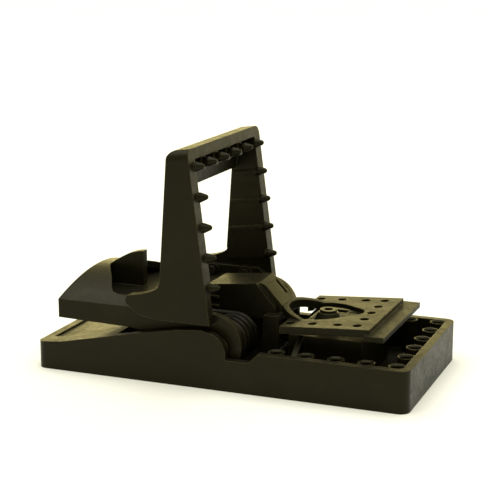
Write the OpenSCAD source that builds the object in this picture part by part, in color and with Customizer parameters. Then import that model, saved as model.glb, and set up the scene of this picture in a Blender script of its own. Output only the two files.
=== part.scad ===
// Snap mouse trap with a toothed jaw, shown set.
// Origin: centre of the base's underside. +X is the front, where the jaw lands. +Z is up.

/* [Base] */
// Length of the base, rear to front
base_l = 98; // [97:0.5:99]
// Width of the base
base_w = 47.2; // [47:0.1:48]
// Height of the tray rim that the jaw lands on
rim_z = 10.4; // [10:0.1:10.5]
// Thickness of the tray floor
floor_t = 1.6; // [1.2:0.1:1.8]
// Thickness of the outer walls
wall_t = 2; // [1.8:0.1:2.1]

/* [Jaw] */
// Lean of the jaw towards the rear when the trap is set, in degrees
lean = 7.3; // [5:0.1:9]
// Height of the jaw above its axle, measured along the arms
jaw_h = 49; // [48.5:0.1:50]
// Spacing of the teeth along the arms
side_pitch = 7.5; // [7.3:0.1:7.5]
// Length of the teeth beyond the front edge of the arms
tooth_out = 2.4; // [1.5:0.1:2.6]

/* [Paddle] */
// Half the width of the perforated plate
plate_hw = 15.4; // [15:0.1:16]
// Upward slope of the plate towards the front, in degrees
plate_tilt = 3.8; // [3:0.1:4.2]
// Diameter of the holes in the plate
plate_hole_d = 2.4; // [1.5:0.1:2.6]

/* [Springs] */
// Diameter of the spring wire
wire_d = 1.6; // [1.2:0.1:1.7]
// Full turns of each spring before its last half turn
turns = 3; // [2:1:3]

/* [Hidden] */
$fn = 48;
eps = 0.01;

plastic = [0.13, 0.12, 0.09];
steel = [0.45, 0.45, 0.44];

// Base
half_l = base_l / 2;
half_w = base_w / 2;
inner_w = half_w - wall_t;
corner_r = 2.5;
deck_end_x = -27;
deck_t = 1.8;
panel_depth = 0.4;
notch_z = 7.9;
cheek = [-1.8, 9.3];
cheek_r = 5.05;

// Main axle and the parts that turn on it
px = 0.7;
pz = 10.3;
axle_r = 1.25;
axle_end_y = half_w - 0.8;
axle_bore_r = 1.32;

// Tooth sockets: the jaw's teeth come down into them
socket_x0 = 45.2;
socket_y = 19.8;
socket_bore_r = 1.5;
socket_r = 2.05;
socket_floor_z = 3;
end_pitch = 2 * socket_y / 5;
side_s = [for (i = [0:4]) socket_x0 - px - i * side_pitch];
end_y = [for (i = [0:5]) -socket_y + i * end_pitch];

// Jaw, in its own plane: f is forward from the axle, s is along the arms
arm_f = -0.8;
arm_out_y = 23.4;
arm_in_y = 19.6;
foot_in_y = 20.55;
lip_s = 46.3;
bar_low_s = 38.6;
bar_wall_t = 1.3;
arch_r = 2.4;
tooth_root_r = 1.25;
tooth_tip_r = 0.7;

// Lever
lever_rear_x = -44;
lever_y = 20.5;
lever_side_t = 1.9;
lever_side_z = 17.9;
hood_crest_z = 23.2;
hood_t = 1.8;
hood_r = (pow(lever_y, 2) + pow(hood_crest_z - lever_side_z, 2)) / (2 * (hood_crest_z - lever_side_z));
bowl_half = [[-39.1, 0], [-38.6, 2], [-37.4, 4.2], [-34, 10], [-31.8, 14.4], [-30.6, 16], [-28.8, 16.8],
             [-20.5, 16.8], [-19.5, 17.8], [-2.3, 17.8]];
lever_floor_z = 16.5;
lever_floor_t = 1.4;
nose = [-1.6, 10.4];
nose_r = 7.9;
lug_top_z = 20.6;
screw_at = [[-17.5, 19.15], [-8, 19.15]];
screw_r = 0.75;
screw_head_r = 1.15;

// Sleeve that carries the sear tooth
sleeve_r = 3.3;
sear_r = 6;
sear_hw = 2;

// Paddle and catch
hinge = [9, 4.4];
hinge_boss_r = 2.2;
pin_r = 1;
pin_bore_r = 1.07;
ear_y = [6.4, 8.2];
ear_x = [7.4, 11.3];
post_y = [4.5, 6.1];
plate_ref = [16, 15.65];
plate_t = 1.2;
skirt_h = 1.9;
plate_x = [14.2, 37];
cowl_hw = 6;
shelf_z = [14.1, 15.7];

// Egg-shaped opening over the bait, and the raised hoop round its rear end
egg = [[20, 8.3], [26.8, 4.3]];
egg_a = 90 - asin((egg[0][1] - egg[1][1]) / (egg[1][0] - egg[0][0]));
hoop_t = 1.5;
hoop_top = [[9.4, 17.9], [11, 17.6], [17.5, 15.9]];
hoop_h = 2;

// Bait cup and its well
well_x = [15.4, 34.2];
well_hw = 11.7;
well_top_z = 12.6;
well_t = 1.6;
post_x = 21.8;
post_r = 3.9;
cup_gap = 0.3;

// ---------- helpers ----------

// Extrudes a profile drawn in X and Z across Y from y0 to y1.
module across(y0, y1) {
  translate([0, y1, 0])
  rotate([90, 0, 0])
    linear_extrude(y1 - y0) children();
}

// Puts the children on both sides of the middle plane.
module both_sides() {
  children();
  mirror([0, 1, 0]) children();
}

// A cylinder along Y from y0 to y1, centred on c = [x, z].
module along_y(c, r, y0, y1) {
  translate([c[0], y1, c[1]])
  rotate([90, 0, 0])
    cylinder(r = r, h = y1 - y0);
}

// Rectangle with round corners, made of exact arcs and straight sides.
module rounded_rect(l, w, r) {
  square([l - 2 * r, w], center = true);
  square([l, w - 2 * r], center = true);
  for (x = [-1, 1], y = [-1, 1])
    translate([x * (l / 2 - r), y * (w / 2 - r)]) circle(r);
}

function arc(c, r, a0, a1, n) =
  [for (i = [0:n]) let(a = a0 + (a1 - a0) * i / n) [c[0] + r * cos(a), c[1] + r * sin(a)]];

// ---------- base ----------

// Upper edge of the side walls, from the rear end to the front end.
wall_top = concat(
  [[-half_l, 6.9], [-42, 7.6], [-25, 11.2], [-16.7, 12.9], [-9.6, 14.2], [-3.4, 14.8]],
  arc(cheek, cheek_r, 75, 0, 8),
  [[cheek[0] + cheek_r, notch_z], [9.3, notch_z], [11.6, rim_z], [half_l, rim_z]]);

// Upper edge of the rear deck, and the same line one thickness lower.
deck_top = [[-half_l, 6.9], [-42, 7.6], [deck_end_x, 10.7]];
deck_low = [for (i = [2:-1:0]) deck_top[i] - [0, deck_t]];

module base_shell() {
  difference() {
    intersection() {
      linear_extrude(20) rounded_rect(base_l, base_w, corner_r);
      across(-half_w, half_w) polygon(concat([[half_l, 0], [-half_l, 0]], wall_top));
    }
    translate([0, 0, floor_t])
      linear_extrude(20) rounded_rect(base_l - 2 * wall_t, base_w - 2 * wall_t, 1);
  }
}

// Sloping deck at the rear with a shallow panel pressed into it.
module rear_deck() {
  difference() {
    intersection() {
      linear_extrude(20) rounded_rect(base_l - 1, base_w - 1, corner_r - 0.5);
      across(-half_w + 1, half_w - 1) polygon(concat(deck_top, deck_low));
    }
    across(-18.7, 18.7)
      polygon([[-46.4, 7.16 - panel_depth], [-42, 7.6 - panel_depth], [-30, 10.08 - panel_depth],
               [-30, 14], [-46.4, 14]]);
  }
}

module each_socket() {
  for (s = side_s, y = [-socket_y, socket_y]) translate([px + s, y, 0]) children();
  for (i = [1:4]) translate([socket_x0, end_y[i], 0]) children();
}

// Box that the bait cup slides up into, with the posts of the paddle's hinge behind it.
module bait_well() {
  difference() {
    translate([well_x[0], -well_hw, 0])
      cube([well_x[1] - well_x[0], 2 * well_hw, well_top_z]);
    well_hollow();
    translate([post_x, 0, 0]) cylinder(r = post_r + 0.6, h = 20);
  }
  both_sides() {
    difference() {
      union() {
        translate([hinge[0] - hinge_boss_r, post_y[0], 0.5])
          cube([2 * hinge_boss_r, post_y[1] - post_y[0], hinge[1] - 0.5]);
        along_y(hinge, hinge_boss_r, post_y[0], post_y[1]);
      }
      along_y(hinge, pin_bore_r, 0, 30);
    }
    // Buttress between the well and the outer wall
    translate([18, 0, 0])
    rotate([90, 0, 90])
      linear_extrude(1.4)
        polygon([[well_hw - 0.5, 1], [well_hw - 0.5, well_top_z], [well_hw, well_top_z],
                 [inner_w + 0.5, 6], [inner_w + 0.5, 1]]);
  }
}

module well_hollow() {
  translate([well_x[0] + well_t, -well_hw + well_t, -1])
    cube([well_x[1] - well_x[0] - 2 * well_t, 2 * (well_hw - well_t), well_top_z - well_t + 1]);
}

module base_tray() {
  color(plastic)
  difference() {
    union() {
      base_shell();
      rear_deck();
      each_socket() socket_cup();
      bait_well();
      // Bosses round the ends of the axle
      both_sides() along_y([px, pz], 2.5, -inner_w - 0.1, -inner_w + 0.7);
      // Stop under the deck for the lower legs of the springs
      translate([-17, -inner_w, floor_t - eps]) cube([1.5, 2 * inner_w, 2.4]);
    }
    well_hollow();
    translate([post_x, 0, 0]) cylinder(r = post_r + 0.6, h = 20);
    each_socket() socket_bore();
    along_y([px, pz], axle_r + 0.03, -axle_end_y - 0.05, axle_end_y + 0.05);
    // Finger notch at the mouth of the well
    translate([well_x[1] - well_t - 1, -4, -1]) cube([4, 8, 2]);
  }
}

module socket_cup() {
  translate([0, 0, floor_t - eps]) cylinder(r = socket_r, h = rim_z - floor_t + eps);
}

module socket_bore() {
  translate([0, 0, socket_floor_z]) cylinder(r = socket_bore_r, h = rim_z);
  translate([0, 0, rim_z - 0.4]) cylinder(r1 = socket_bore_r, r2 = socket_bore_r + 0.45, h = 0.45);
}

module main_axle() {
  color(steel) along_y([px, pz], axle_r, -axle_end_y, axle_end_y);
}

// ---------- jaw ----------

// Turns the jaw's own plane to the set position.
module at_set() {
  translate([px, 0, pz])
  rotate([0, -lean, 0])
    children();
}

function arm_back(s) = -6.9 - (46 - s) * 0.2;

// Outline of one arm above the lever.
module arm_outline() {
  polygon(concat(
    [[arm_f, 13.5], [arm_f, jaw_h]],
    arc([arm_back(jaw_h - 2.2) + 2.2, jaw_h - 2.2], 2.2, 90, 180, 6),
    [[arm_back(17), 17], [arm_back(17), 13.5]]));
}

// Outline of the foot, which lies outside the lever's side.
module foot_outline() {
  polygon(concat(
    [[arm_f, 5.9], [arm_f, 17], [arm_back(17), 17]],
    [[-13.2, 16], [-14.3, 15.3], [-16, 14.8], [-17.9, 14.5], [-21.2, 14.3]],
    arc([-21.4, 12.9], 1.4, 90, 215, 6),
    [[-19.8, 9.3], [-17.1, 8.4], [-14.4, 7.8], [-6.4, 6.6]]));
}

// One tooth with its axis along f, and the rib that backs it.
module tooth() {
  rotate([0, 90, 0])
    rotate_extrude()
      polygon(concat([[0, -0.7], [tooth_root_r, -0.7], [tooth_root_r, 0.3]],
                     arc([0, tooth_out - tooth_tip_r], tooth_tip_r, 15, 90, 5)));
}

module teeth() {
  for (s = side_s, y = [-socket_y, socket_y]) translate([arm_f, y, s]) tooth();
  for (i = [1:4]) translate([arm_f, end_y[i], side_s[0]]) tooth();
}

module arm_ribs() {
  for (s = [side_s[0], side_s[1], side_s[2], side_s[3]])
    translate([arm_back(s) + 0.6, arm_in_y - 0.9, s - 0.45])
      cube([arm_f - arm_back(s) - 0.7, 1, 0.9]);
}

// Section of the bar: a front lip, the top and a deep wall along the arms' rear edge.
module bar_outline() {
  difference() {
    arm_outline();
    polygon([[-30, 0], [-30, bar_low_s], [10, bar_low_s], [10, 0]]);
    polygon([[arm_f - 1.5, 0], [arm_f - 1.5, lip_s], [arm_f + 1, lip_s], [arm_f + 1, 0]]);
    polygon([[arm_f - 1.4, 0], [arm_f - 1.4, jaw_h - 1.8], [arm_back(jaw_h) + bar_wall_t + 0.4, jaw_h - 1.8],
             [arm_back(bar_low_s) + bar_wall_t, bar_low_s], [arm_back(bar_low_s) + bar_wall_t, 0]]);
  }
}

module top_bar() {
  across(-arm_in_y - eps, arm_in_y + eps) bar_outline();
  // Round roots behind the teeth, tied up to the bar
  for (i = [1:4]) {
    translate([arm_back(side_s[0]) + 0.5, end_y[i], side_s[0]])
    rotate([0, 90, 0])
      cylinder(r = 1.9, h = arm_f - 1.2 - arm_back(side_s[0]) - 0.5);
    translate([arm_back(side_s[0]) + 0.5, end_y[i] - 1.2, side_s[0]])
      cube([arm_f - 1.2 - arm_back(side_s[0]) - 0.5, 2.4, jaw_h - side_s[0] - 1]);
    translate([arm_f - 1.6, end_y[i], side_s[0]])
    rotate([0, 90, 0])
      cylinder(r = tooth_root_r, h = 1.4);
  }
}

// Face of the whole jaw seen along f: two arms and an arch with round outer corners.
module arch_outline() {
  translate([-arm_out_y, 0]) square([2 * arm_out_y, jaw_h - arch_r]);
  translate([-arm_out_y + arch_r, 0]) square([2 * (arm_out_y - arch_r), jaw_h]);
  for (y = [-1, 1]) translate([y * (arm_out_y - arch_r), jaw_h - arch_r]) circle(arch_r);
}

module jaw_frame() {
  color(plastic)
  difference() {
    at_set()
    intersection() {
      union() {
        both_sides() {
          across(arm_in_y, arm_out_y) arm_outline();
          across(foot_in_y, arm_out_y) foot_outline();
          arm_ribs();
        }
        top_bar();
        teeth();
      }
      translate([-30, 0, 0])
      rotate([90, 0, 90])
        linear_extrude(40) arch_outline();
    }
    // Blind holes for the screws that hold the lever
    both_sides() for (p = screw_at) along_y(p, screw_r + 0.05, 10, arm_out_y - 0.5);
    // Keeps the inner half of the arms clear of the lever's lugs
    both_sides()
      translate([-30, arm_in_y - 2, 0]) cube([60, foot_in_y - arm_in_y + 2, lug_top_z + 0.3]);
  }
}

// ---------- lever ----------

module side_outline() {
  polygon([[lever_rear_x, 13.1], [-24, 12.6], [-14, 11], [-5, 6], [nose[0], pz], [0, 16],
           [-1.6, 18.3], [-4.5, lug_top_z], [-20, lug_top_z], [-22.5, lever_side_z],
           [lever_rear_x, lever_side_z]]);
  translate(nose) circle(nose_r);
}

// Barrel-shaped roof: an arc across the width, swept from the rear end towards the jaw.
module hood() {
  difference() {
    intersection() {
      translate([lever_rear_x, 0, hood_crest_z - hood_r])
      rotate([0, 90, 0])
        cylinder(r = hood_r, h = 26, $fn = 128);
      translate([lever_rear_x, -lever_y, lever_side_z - 1.2]) cube([26, 2 * lever_y, 10]);
      // The rear end leans forward a little
      across(-lever_y, lever_y)
        polygon([[lever_rear_x, 10], [lever_rear_x, lever_side_z], [lever_rear_x + 1.6, hood_crest_z],
                 [lever_rear_x + 1.6, 30], [0, 30], [0, 10]]);
    }
    translate([lever_rear_x + 1.8, 0, hood_crest_z - hood_r])
    rotate([0, 90, 0])
      cylinder(r = hood_r - hood_t, h = 40, $fn = 128);
    both_sides() linear_extrude(40) polygon(concat([[-2.3, -1], [bowl_half[0][0], -1]], bowl_half));
  }
}

// Upright fin that rises from the crest of the hood into the round opening.
module fin() {
  across(-1.1, 1.1)
    polygon(concat([[-40, lever_floor_z + 0.5], [-40, 22.6], [-38.8, 23.3]],
                   [for (i = [1:6]) let(t = i / 6) [-38.8 + 9.6 * t, 23.3 + 4.1 * sin(90 * t)]],
                   [[-29.2, lever_floor_z + 0.5]]));
}

module lever_floor() {
  translate([lever_rear_x + 0.5, -lever_y + 1, lever_floor_z])
    cube([28, 2 * lever_y - 2, lever_floor_t]);
  // Seats that the upper legs of the springs push on
  both_sides()
    translate([-17, 7.8, lever_floor_z]) cube([5.5, lever_y - 8.8, lever_floor_t]);
}

module press_lever() {
  color(plastic)
  difference() {
    union() {
      both_sides() across(lever_y - lever_side_t, lever_y) side_outline();
      hood();
      translate([lever_rear_x, -lever_y, 13.1]) cube([1.8, 2 * lever_y, lever_side_z - 13.1]);
      lever_floor();
      fin();
      // Bosses behind the screws
      both_sides() for (p = screw_at) along_y(p, 1.8, lever_y - 2.9, lever_y - 0.5);
    }
    along_y([px, pz], axle_bore_r, -30, 30);
    // Square seats for the ends of the sleeve
    both_sides()
      translate([px - 2.55, lever_y - lever_side_t - 0.1, pz - 2.55]) cube([5.1, 1.2, 5.1]);
    both_sides() for (p = screw_at) along_y(p, screw_r + 0.1, 10, 30);
  }
}

// ---------- sleeve with the sear tooth ----------

module catch_sleeve() {
  color(plastic)
  difference() {
    union() {
      along_y([px, pz], sleeve_r, -lever_y + lever_side_t + 0.05, lever_y - lever_side_t - 0.05);
      both_sides()
        translate([px - 2.5, lever_y - lever_side_t - 0.2, pz - 2.5]) cube([5, 1.2, 5]);
      across(-sear_hw, sear_hw)
        polygon(concat([[px, pz]], arc([px, pz], sear_r, 17, 42, 4)));
      // Collars that keep the springs apart from the catch
      both_sides() along_y([px, pz], 4.2, 6.8, 8);
    }
    along_y([px, pz], axle_bore_r, -30, 30);
  }
}

module lever_screws() {
  color(steel)
  both_sides()
    for (p = screw_at) {
      along_y(p, screw_r, lever_y - 2.95, arm_out_y - 0.6);
      along_y(p, screw_head_r, lever_y - 3.9, lever_y - 2.9);
    }
}

// ---------- springs ----------

function unit(v) = v / norm(v);

// Sweeps a round wire along points that never run parallel to Y.
module wire(pts, r, sides) {
  n = len(pts);
  dirs = [for (i = [0:n - 1]) unit(pts[min(i + 1, n - 1)] - pts[max(i - 1, 0)])];
  rings = [for (i = [0:n - 1])
    let(u = unit(cross(dirs[i], [0, 1, 0])), v = cross(dirs[i], u))
    for (k = [0:sides - 1]) let(a = 360 * k / sides) pts[i] + r * (cos(a) * u + sin(a) * v)];
  quads = [for (i = [0:n - 2], k = [0:sides - 1]) let(m = (k + 1) % sides)
    [i * sides + k, i * sides + m, (i + 1) * sides + m, (i + 1) * sides + k]];
  first = [[for (k = [sides - 1:-1:0]) k]];
  last = [[for (k = [0:sides - 1]) (n - 1) * sides + k]];
  polyhedron(rings, concat(quads, first, last), convexity = 8);
}

// Torsion spring about Y: a straight leg, the coil from angle a0 to a1, and a second leg.
function torsion(c, r, y0, y1, a0, a1, leg0, leg1, steps) =
  let(p0 = [c[0] + r * cos(a0), y0, c[1] + r * sin(a0)],
      p1 = [c[0] + r * cos(a1), y1, c[1] + r * sin(a1)],
      d0 = [sin(a0), 0, -cos(a0)],
      d1 = [-sin(a1), 0, cos(a1)])
  concat([p0 + leg0 * d0],
         [for (i = [0:steps]) let(t = i / steps, a = a0 + (a1 - a0) * t)
           [c[0] + r * cos(a), y0 + (y1 - y0) * t, c[1] + r * sin(a)]],
         [p1 + leg1 * d1]);

coil_r = 5.2;
coil_pitch = 2.3;
coil_y0 = -17.3;

module near_spring() {
  color(steel)
    wire(torsion([px, pz], coil_r, coil_y0, coil_y0 + (turns + 0.47) * coil_pitch,
                 -80, 90 + 360 * turns, 14.5, 12.6, 24 * turns + 12), wire_d / 2, 10);
}

module far_spring() {
  mirror([0, 1, 0]) near_spring();
}

// ---------- paddle ----------

// Height of the plate's top face above the point x.
function plate_z(x) = plate_ref[1] + (x - plate_ref[0]) * tan(plate_tilt);

// Band between two slopes: the plate's section, from x0 to x1, from top to bottom below its top face.
module plate_band(x0, x1, top, bottom, y0, y1) {
  across(y0, y1)
    polygon([[x0, plate_z(x0) - top], [x1, plate_z(x1) - top],
             [x1, plate_z(x1) - bottom], [x0, plate_z(x0) - bottom]]);
}

module egg_outline(grow) {
  polygon(concat(arc([egg[0][0], 0], egg[0][1] + grow, egg_a, 360 - egg_a, 36),
                 arc([egg[1][0], 0], egg[1][1] + grow, -egg_a, egg_a, 18)));
}

module plate() {
  difference() {
    union() {
      plate_band(plate_x[0], plate_x[1], 0, plate_t, -plate_hw, plate_hw);
      both_sides() plate_band(plate_x[0], plate_x[1], 0, skirt_h, plate_hw - 1.2, plate_hw);
      plate_band(plate_x[0], plate_x[0] + 1.2, 0, skirt_h, -plate_hw, plate_hw);
    }
    linear_extrude(40) egg_outline(0);
    for (i = [-2:2]) translate([33, i * 6.05, 0]) cylinder(d = plate_hole_d, h = 30);
    for (x = [15.9, 21.6, 28], y = [-12, 12]) translate([x, y, 0]) cylinder(d = plate_hole_d, h = 30);
  }
}

// Raised wall round the rear of the opening, from the plate to the foot of the ramp.
module hoop() {
  intersection() {
    difference() {
      linear_extrude(40) egg_outline(hoop_t);
      linear_extrude(40) egg_outline(0);
    }
    across(-plate_hw, plate_hw)
      polygon([hoop_top[0], hoop_top[1], hoop_top[2], [17.5, hoop_top[2][1] - hoop_h],
               hoop_top[1] - [0, hoop_h], hoop_top[0] - [0, hoop_h + 0.3]]);
  }
}

// Wider lip along the front, a step lower than the plate.
module lip() {
  translate([36, -17, 14.6]) cube([5, 34, 1.3]);
  translate([36, -plate_hw, 14.6]) cube([1, 2 * plate_hw, 2.3]);
}

// Hollow cowl over the middle of the axle, with a ramp down to the hoop.
module cowl() {
  both_sides()
    across(cowl_hw - 1.2, cowl_hw)
      polygon([[-8.6, 14.3], [-8.6, 21.7], [4.6, 23], [9.8, 16.9], [9.8, 14.1]]);
  difference() {
    across(-cowl_hw, cowl_hw)
      polygon([[-8.6, 20.5], [-8.6, 21.7], [4.6, 23], [6.4, 22.5], [11, 17.6], [11, 15.7],
               [9.9, 15.7], [9.9, 16.7], [5.5, 21.3], [4, 21.75]]);
    // The ramp's side edges fall away
    both_sides()
      across(4.4, cowl_hw + 1)
        polygon([[4.6, 23], [7, 20.2], [9.4, 17.3], [9.8, 14], [14, 14], [14, 24], [4.6, 24]]);
    // Slot beside the ramp's edge
    translate([0, 1.9, 0])
    across(0, 1.3)
      polygon([[6.6, 30], [6.6, 14], [9.6, 14], [9.6, 30]]);
  }
  // Shelf that ties the cowl, the ramp and the ears together
  translate([ear_x[0], -ear_y[1], shelf_z[0]])
    cube([ear_x[1] - ear_x[0], 2 * ear_y[1], shelf_z[1] - shelf_z[0]]);
  // Short ribs on the sides near the rear end
  both_sides()
    for (z = [15.8, 18.2, 20.6])
      translate([-8.6, cowl_hw - 0.1, z]) cube([3, 0.6, 0.7]);
}

// Nose that stands under the sear tooth.
module catch_nose() {
  across(-sear_hw, sear_hw)
    polygon([[7.0, 11.8], [8.6, 10.9], [9.7, 12.6], [9.7, 15.5], [8.6, 16.6], [7.6, 16.6]]);
}

module ears() {
  both_sides()
  difference() {
    union() {
      along_y(hinge, hinge_boss_r, ear_y[0], ear_y[1]);
      across(ear_y[0], ear_y[1])
        polygon([[hinge[0] - hinge_boss_r, hinge[1]], [ear_x[0], shelf_z[0] + 0.5],
                 [ear_x[1], shelf_z[0] + 0.5], [hinge[0] + hinge_boss_r, hinge[1]]]);
    }
    along_y(hinge, pin_bore_r, 0, ear_y[1] - 0.5);
  }
}

module trip_paddle() {
  color(plastic) {
    plate();
    hoop();
    lip();
    cowl();
    catch_nose();
    ears();
  }
}

module trigger_pin() {
  color(steel) along_y(hinge, pin_r, -ear_y[1] + 0.55, ear_y[1] - 0.55);
}

// Light spring round the pin that lifts the paddle's front.
module paddle_spring() {
  color(steel)
    wire(torsion(hinge, 1.75, -2.4, 2.4, -90, 360 * 3, 5, 9.2, 84), 0.3, 8);
}

// ---------- bait cup ----------

module bait_cup() {
  x0 = well_x[0] + well_t + cup_gap;
  l = well_x[1] - well_x[0] - 2 * (well_t + cup_gap);
  hw = well_hw - well_t - cup_gap;
  top = well_top_z - well_t - 0.5;
  color(plastic)
  difference() {
    union() {
      difference() {
        translate([x0, -hw, 0.3]) cube([l, 2 * hw, top - 0.3]);
        translate([x0 + 1.2, -hw + 1.2, 1.5]) cube([l - 2.4, 2 * hw - 2.4, 20]);
      }
      translate([post_x, 0, 0.3]) cylinder(r = post_r, h = 13);
      translate([post_x, 0, 13.3]) cylinder(r1 = post_r, r2 = 2.5, h = 2.6);
      translate([post_x, 0, 0.3]) cylinder(r = 2.2, h = 16.3);
    }
    translate([post_x, 0, 8]) cylinder(d = 2.4, h = 20);
  }
}

base_tray();
main_axle();
jaw_frame();
press_lever();
catch_sleeve();
lever_screws();
near_spring();
far_spring();
trip_paddle();
trigger_pin();
paddle_spring();
bait_cup();
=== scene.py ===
import math

import bpy
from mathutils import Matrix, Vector


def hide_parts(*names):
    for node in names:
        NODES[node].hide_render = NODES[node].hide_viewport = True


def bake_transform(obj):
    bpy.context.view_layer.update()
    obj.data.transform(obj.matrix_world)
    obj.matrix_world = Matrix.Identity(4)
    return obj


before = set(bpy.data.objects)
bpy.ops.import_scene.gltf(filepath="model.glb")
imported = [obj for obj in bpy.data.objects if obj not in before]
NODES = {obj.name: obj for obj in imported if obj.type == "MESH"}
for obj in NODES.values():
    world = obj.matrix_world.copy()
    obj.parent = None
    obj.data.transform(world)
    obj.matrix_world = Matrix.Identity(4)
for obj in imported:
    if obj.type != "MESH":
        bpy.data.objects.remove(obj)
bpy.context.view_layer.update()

MM = 0.001

# Camera, fitted to the photograph's viewing angle
CAMERA_AT = (0.1233, -0.3111, 0.1091)
CAMERA_TILT = 90 - 13.30
CAMERA_TURN = 21.54
CAMERA_LENS = 97.0
SENSOR_WIDTH = 36.0

# Axle, the line that the jaw turns on
AXLE = (0.7 * MM, 10.3 * MM)
# Pin of the paddle's hinge
HINGE = (9.0 * MM, 4.4 * MM)

# Main springs, as in the CAD: the coil starts at the outer end
COIL_R = 5.2
COIL_OUTER_Y = 17.3
COIL_PITCH = 2.3
COIL_TURNS = 3
MAIN_WIRE_R = 0.8

# Spring that lifts the paddle
LIFT_COIL_R = 1.75
LIFT_HALF_Y = 2.4
LIFT_TURNS = 3
LIFT_WIRE_R = 0.3

# Black plastic: its two tones, its edges (scuffed, and lightened as a painted highlight) and the dust on
# its top faces
DEEP = (0.0042, 0.0040, 0.0022)
PALE = (0.0066, 0.0060, 0.0031)
# Pale olive for the edges: partly scuffed wear, partly a painted highlight of light catching them
EDGE_WEAR_AND_HIGHLIGHT = (0.13, 0.115, 0.058)
DUST = (0.22, 0.2, 0.15)
PLASTIC_EDGE_R = 0.32
STEEL_EDGE_R = 0.12


# ---------- node helpers ----------


class Graph:
    """One material's nodes, with short calls for the ones used here."""

    def __init__(self, name):
        self.material = bpy.data.materials.new(name)
        self.material.use_nodes = True
        self.tree = self.material.node_tree
        self.tree.nodes.clear()
        self.out = self.tree.nodes.new("ShaderNodeOutputMaterial")
        self.shader = self.tree.nodes.new("ShaderNodeBsdfPrincipled")
        self.tree.links.new(self.shader.outputs[0], self.out.inputs["Surface"])
        self.coords = self.tree.nodes.new("ShaderNodeTexCoord").outputs["Object"]

    def link(self, source, target):
        self.tree.links.new(source, target)

    def set(self, socket, value):
        self.shader.inputs[socket].default_value = value

    def noise(self, scale, detail=3.0, rough=0.55, stretch=None):
        """Noise whose scale is in features per metre, from 0 to 1."""
        node = self.tree.nodes.new("ShaderNodeTexNoise")
        node.inputs["Scale"].default_value = scale
        node.inputs["Detail"].default_value = detail
        node.inputs["Roughness"].default_value = rough
        source = self.coords
        if stretch is not None:
            mapping = self.tree.nodes.new("ShaderNodeMapping")
            mapping.inputs["Scale"].default_value = stretch
            self.link(self.coords, mapping.inputs["Vector"])
            source = mapping.outputs[0]
        self.link(source, node.inputs["Vector"])
        return node.outputs["Fac"]

    def range(self, value, low, high, to_low=0.0, to_high=1.0):
        """Maps value from low..high to to_low..to_high, clamped and smooth."""
        node = self.tree.nodes.new("ShaderNodeMapRange")
        node.interpolation_type = "SMOOTHSTEP"
        node.inputs["From Min"].default_value = low
        node.inputs["From Max"].default_value = high
        node.inputs["To Min"].default_value = to_low
        node.inputs["To Max"].default_value = to_high
        self.link(value, node.inputs["Value"])
        return node.outputs["Result"]

    def math(self, operation, a, b):
        node = self.tree.nodes.new("ShaderNodeMath")
        node.operation = operation
        for socket, value in zip(node.inputs, (a, b)):
            if isinstance(value, (int, float)):
                socket.default_value = value
            else:
                self.link(value, socket)
        return node.outputs[0]

    def mix(self, factor, a, b):
        """Mixes two colours. Each is a socket or three numbers."""
        node = self.tree.nodes.new("ShaderNodeMix")
        node.data_type = "RGBA"
        self.link(factor, node.inputs["Factor"])
        for socket, value in zip((node.inputs[6], node.inputs[7]), (a, b)):
            if isinstance(value, tuple):
                socket.default_value = (*value, 1.0)
            else:
                self.link(value, socket)
        return node.outputs[2]

    def edges(self, radius):
        """(mask that is 1 on convex and concave edges, normal with those edges rounded)"""
        bevel = self.tree.nodes.new("ShaderNodeBevel")
        bevel.samples = 6
        bevel.inputs["Radius"].default_value = radius
        geometry = self.tree.nodes.new("ShaderNodeNewGeometry")
        dot = self.tree.nodes.new("ShaderNodeVectorMath")
        dot.operation = "DOT_PRODUCT"
        self.link(bevel.outputs[0], dot.inputs[0])
        self.link(geometry.outputs["Normal"], dot.inputs[1])
        return self.range(dot.outputs["Value"], 0.995, 0.8), bevel.outputs[0]

    def facing_up(self):
        """1 where the surface faces up."""
        geometry = self.tree.nodes.new("ShaderNodeNewGeometry")
        split = self.tree.nodes.new("ShaderNodeSeparateXYZ")
        self.link(geometry.outputs["Normal"], split.inputs[0])
        return self.range(split.outputs["Z"], 0.3, 0.95)

    def bump(self, height, distance, strength, normal=None):
        node = self.tree.nodes.new("ShaderNodeBump")
        node.inputs["Strength"].default_value = strength
        node.inputs["Distance"].default_value = distance
        self.link(height, node.inputs["Height"])
        if normal is not None:
            self.link(normal, node.inputs["Normal"])
        return node.outputs[0]


# ---------- materials ----------


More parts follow.
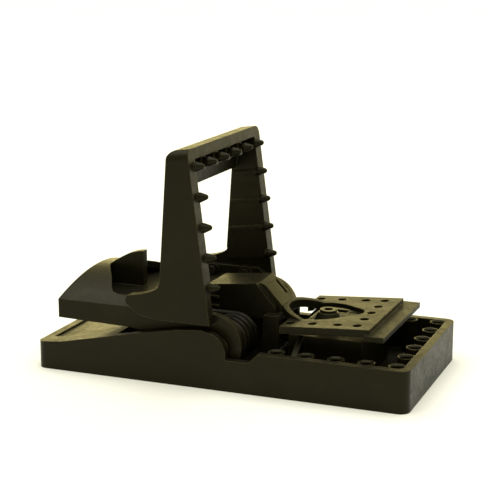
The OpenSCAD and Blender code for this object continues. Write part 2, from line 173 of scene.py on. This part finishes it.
def moulded_plastic(name, rough):
    """Dark moulded plastic: spark grain, flow mottling, polished edges, scuffed edges lightened as a
    painted highlight, a little dust.
    """
    g = Graph(name)
    mottle = g.noise(55, 4, 0.6)
    speck = g.noise(1500, 2, 0.6)
    colour = g.mix(g.range(mottle, 0.35, 0.7), DEEP, PALE)
    flecks = g.math("MULTIPLY", g.range(speck, 0.62, 0.75), 0.35)
    colour = g.mix(flecks, colour, tuple(c * 2.2 for c in PALE))
    edge, rounded = g.edges(PLASTIC_EDGE_R * MM)
    # Edges lightened in patches: partly scuffed wear, partly a painted highlight where light catches the
    # rounded edges
    edge_wear_and_highlight = g.math("MULTIPLY", edge, g.range(g.noise(420, 4, 0.7), 0.38, 0.62, 0.18, 0.5))
    colour = g.mix(edge_wear_and_highlight, colour, EDGE_WEAR_AND_HIGHLIGHT)
    dust = g.math("MULTIPLY", g.facing_up(), g.range(g.noise(160, 5, 0.7), 0.45, 0.8, 0.0, 0.05))
    colour = g.mix(dust, colour, DUST)
    g.link(colour, g.shader.inputs["Base Color"])
    streak = g.noise(240, 3, 0.6, stretch=(0.25, 1.0, 1.0))
    roughness = g.math("ADD", g.range(streak, 0.3, 0.7, rough - 0.04, rough + 0.05),
                       g.range(g.noise(900, 2), 0.35, 0.65, -0.04, 0.04))
    roughness = g.math("SUBTRACT", roughness, g.math("MULTIPLY", edge, 0.1))
    g.link(roughness, g.shader.inputs["Roughness"])
    normal = g.bump(g.noise(70, 2), 0.25 * MM, 0.1, rounded)
    normal = g.bump(g.noise(2600, 3, 0.6), 0.03 * MM, 0.35, normal)
    g.link(normal, g.shader.inputs["Normal"])
    g.set("IOR", 1.5)
    g.set("Specular IOR Level", 0.17)
    g.set("Specular Tint", (1.0, 0.95, 0.62, 1.0))
    return g.material


def drawn_steel(name, dark, light, rough, along=(1.0, 1.0, 1.0)):
    """Wire or plated steel with drawing lines, dull patches and a trace of oil."""
    g = Graph(name)
    lines = g.noise(700, 4, 0.65, stretch=along)
    patch = g.noise(130, 4, 0.6)
    colour = g.mix(g.range(patch, 0.35, 0.7), dark, light)
    edge, rounded = g.edges(STEEL_EDGE_R * MM)
    colour = g.mix(g.math("MULTIPLY", edge, 0.5), colour, tuple(min(1.0, c * 1.8) for c in light))
    g.link(colour, g.shader.inputs["Base Color"])
    roughness = g.math("ADD", g.range(lines, 0.3, 0.7, rough - 0.08, rough + 0.1),
                       g.range(patch, 0.4, 0.7, 0.0, 0.12))
    g.link(roughness, g.shader.inputs["Roughness"])
    normal = g.bump(lines, 0.02 * MM, 0.35, rounded)
    g.link(normal, g.shader.inputs["Normal"])
    g.set("Metallic", 1.0)
    return g.material


def pale_floor():
    g = Graph("studio_paper")
    tone = g.noise(14, 4, 0.6)
    colour = g.mix(g.range(tone, 0.3, 0.7), (0.90, 0.90, 0.89), (0.93, 0.93, 0.92))
    g.link(colour, g.shader.inputs["Base Color"])
    g.link(g.range(g.noise(60, 3), 0.3, 0.7, 0.75, 0.9), g.shader.inputs["Roughness"])
    g.link(g.bump(g.noise(1800, 3), 0.02 * MM, 0.2), g.shader.inputs["Normal"])
    g.set("Specular IOR Level", 0.1)
    return g.material


def give(node, material):
    """Puts one material on a CAD node."""
    mesh = NODES[node].data
    if not mesh.materials:
        mesh.materials.append(material)
    for i in range(len(mesh.materials)):
        mesh.materials[i] = material


# ---------- springs ----------


def torsion_path(centre, radius, y0, y1, a0, a1, leg0, leg1, steps):
    """Centre line of a torsion spring about Y: a leg, the coil and a leg, in metres and degrees."""
    def at(angle, y):
        a = math.radians(angle)
        return Vector((centre[0] + radius * math.cos(a), y, centre[1] + radius * math.sin(a)))

    first = math.radians(a0)
    last = math.radians(a1)
    start = at(a0, y0) + leg0 * Vector((math.sin(first), 0, -math.cos(first)))
    end = at(a1, y1) + leg1 * Vector((-math.sin(last), 0, math.cos(last)))
    points = []
    leg_steps = 8
    for i in range(leg_steps):
        points.append(start.lerp(at(a0, y0), i / leg_steps))
    for i in range(steps + 1):
        t = i / steps
        points.append(at(a0 + (a1 - a0) * t, y0 + (y1 - y0) * t))
    for i in range(1, leg_steps + 1):
        points.append(at(a1, y1).lerp(end, i / leg_steps))
    return points


def wire_mesh(name, points, radius, sides, material):
    """Round wire along points, with domed ends, as one closed mesh."""
    verts = []
    faces = []
    n = len(points)
    rings = []
    dome = [(-1.0, 0.35), (-0.75, 0.75), (-0.3, 0.96)]
    first_dir = (points[1] - points[0]).normalized()
    last_dir = (points[-1] - points[-2]).normalized()
    for back, share in dome:
        rings.append((points[0] + first_dir * back * radius * 0.6, first_dir, radius * share))
    for i in range(n):
        direction = (points[min(i + 1, n - 1)] - points[max(i - 1, 0)]).normalized()
        rings.append((points[i], direction, radius))
    for back, share in reversed(dome):
        rings.append((points[-1] - last_dir * back * radius * 0.6, last_dir, radius * share))
    for centre, direction, r in rings:
        u = direction.cross(Vector((0, 1, 0))).normalized()
        v = direction.cross(u)
        for k in range(sides):
            a = 2 * math.pi * k / sides
            verts.append(centre + r * (math.cos(a) * u + math.sin(a) * v))
    for i in range(len(rings) - 1):
        for k in range(sides):
            m = (k + 1) % sides
            faces.append((i * sides + k, i * sides + m, (i + 1) * sides + m, (i + 1) * sides + k))
    faces.append(tuple(range(sides - 1, -1, -1)))
    top = (len(rings) - 1) * sides
    faces.append(tuple(top + k for k in range(sides)))
    mesh = bpy.data.meshes.new(name)
    mesh.from_pydata(verts, [], faces)
    mesh.validate()
    for polygon in mesh.polygons:
        polygon.use_smooth = True
    mesh.materials.append(material)
    obj = bpy.data.objects.new(name, mesh)
    bpy.context.scene.collection.objects.link(obj)
    return obj


def main_spring(name, node, side, material):
    """Torsion spring on the axle: its lower leg bears on the base and its upper leg on the lever."""
    y_out = side * COIL_OUTER_Y * MM
    y_in = side * (COIL_OUTER_Y - (COIL_TURNS + 0.47) * COIL_PITCH) * MM
    last_angle = 90 + 360 * COIL_TURNS
    points = torsion_path(AXLE, COIL_R * MM, y_out, y_in, -80, last_angle, 14.5 * MM, 12.6 * MM, 260)
    obj = wire_mesh(name, points, MAIN_WIRE_R * MM, 14, material)
    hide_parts(node)
    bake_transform(obj)
    return obj


def paddle_lift_spring(material):
    """Spring round the trigger pin: one leg lies in the base, the other pushes the paddle up."""
    near_y = -LIFT_HALF_Y * MM
    far_y = LIFT_HALF_Y * MM
    last_angle = 360 * LIFT_TURNS
    points = torsion_path(HINGE, LIFT_COIL_R * MM, near_y, far_y, -90, last_angle, 5.0 * MM, 9.2 * MM, 180)
    obj = wire_mesh("paddle_lift_spring", points, LIFT_WIRE_R * MM, 10, material)
    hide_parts("paddle_spring")
    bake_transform(obj)
    return obj


# ---------- stage ----------


def floor():
    size = 3.0
    mesh = bpy.data.meshes.new("floor")
    corners = [(-size, -size, 0), (size, -size, 0), (size, size, 0), (-size, size, 0)]
    mesh.from_pydata(corners, [], [(0, 1, 2, 3)])
    mesh.materials.append(pale_floor())
    obj = bpy.data.objects.new("floor", mesh)
    bpy.context.scene.collection.objects.link(obj)
    return obj


def area_light(name, at, size, watts, colour, aim=(0.0, 0.0, 0.02)):
    data = bpy.data.lights.new(name, "AREA")
    data.shape = "RECTANGLE"
    data.size = size[0]
    data.size_y = size[1]
    data.energy = watts
    data.color = colour
    obj = bpy.data.objects.new(name, data)
    obj.location = at
    obj.rotation_euler = (Vector(aim) - Vector(at)).to_track_quat("-Z", "Y").to_euler()
    bpy.context.scene.collection.objects.link(obj)
    return obj


def studio():
    sky = bpy.data.lights.new("overhead_soft", "SUN")
    sky.energy = 3.2
    sky.angle = math.radians(80)
    sky.color = (0.88, 0.92, 0.94)
    top = bpy.data.objects.new("overhead_soft", sky)
    bpy.context.scene.collection.objects.link(top)
    area_light("warm_back", (-0.45, 1.4, 0.22), (2.6, 0.3), 11.0, (1.0, 0.84, 0.34))
    world = bpy.data.worlds.new("studio")
    world.use_nodes = True
    background = world.node_tree.nodes["Background"]
    background.inputs["Color"].default_value = (1.0, 0.86, 0.36, 1.0)
    background.inputs["Strength"].default_value = 0.5
    bpy.context.scene.world = world
    bpy.context.scene.view_settings.view_transform = "Standard"


def camera():
    data = bpy.data.cameras.new("camera")
    data.lens = CAMERA_LENS
    data.sensor_width = SENSOR_WIDTH
    data.clip_start = 0.01
    obj = bpy.data.objects.new("camera", data)
    obj.location = CAMERA_AT
    obj.rotation_euler = (math.radians(CAMERA_TILT), 0, math.radians(CAMERA_TURN))
    bpy.context.scene.collection.objects.link(obj)
    bpy.context.scene.camera = obj


# ---------- assembly ----------

spring_steel = drawn_steel("spring_wire", (0.010, 0.0095, 0.0075), (0.026, 0.024, 0.018), rough=0.42,
                           along=(1.0, 4.0, 1.0))
black_steel = drawn_steel("black_oxide", (0.02, 0.019, 0.017), (0.045, 0.042, 0.036), rough=0.42)
plated_steel = drawn_steel("zinc_plate", (0.36, 0.355, 0.34), (0.55, 0.54, 0.52), rough=0.28,
                           along=(3.0, 0.4, 3.0))

give("base_tray", moulded_plastic("base_plastic", 0.40))
give("jaw_frame", moulded_plastic("jaw_plastic", 0.43))
give("press_lever", moulded_plastic("lever_plastic", 0.38))
give("trip_paddle", moulded_plastic("paddle_plastic", 0.44))
give("bait_cup", moulded_plastic("cup_plastic", 0.35))
give("catch_sleeve", moulded_plastic("sleeve_plastic", 0.32))
give("main_axle", plated_steel)
give("trigger_pin", plated_steel)
give("lever_screws", black_steel)

main_spring("near_coil_spring", "near_spring", -1, spring_steel)
main_spring("far_coil_spring", "far_spring", 1, spring_steel)
paddle_lift_spring(spring_steel)

floor()
studio()
camera()
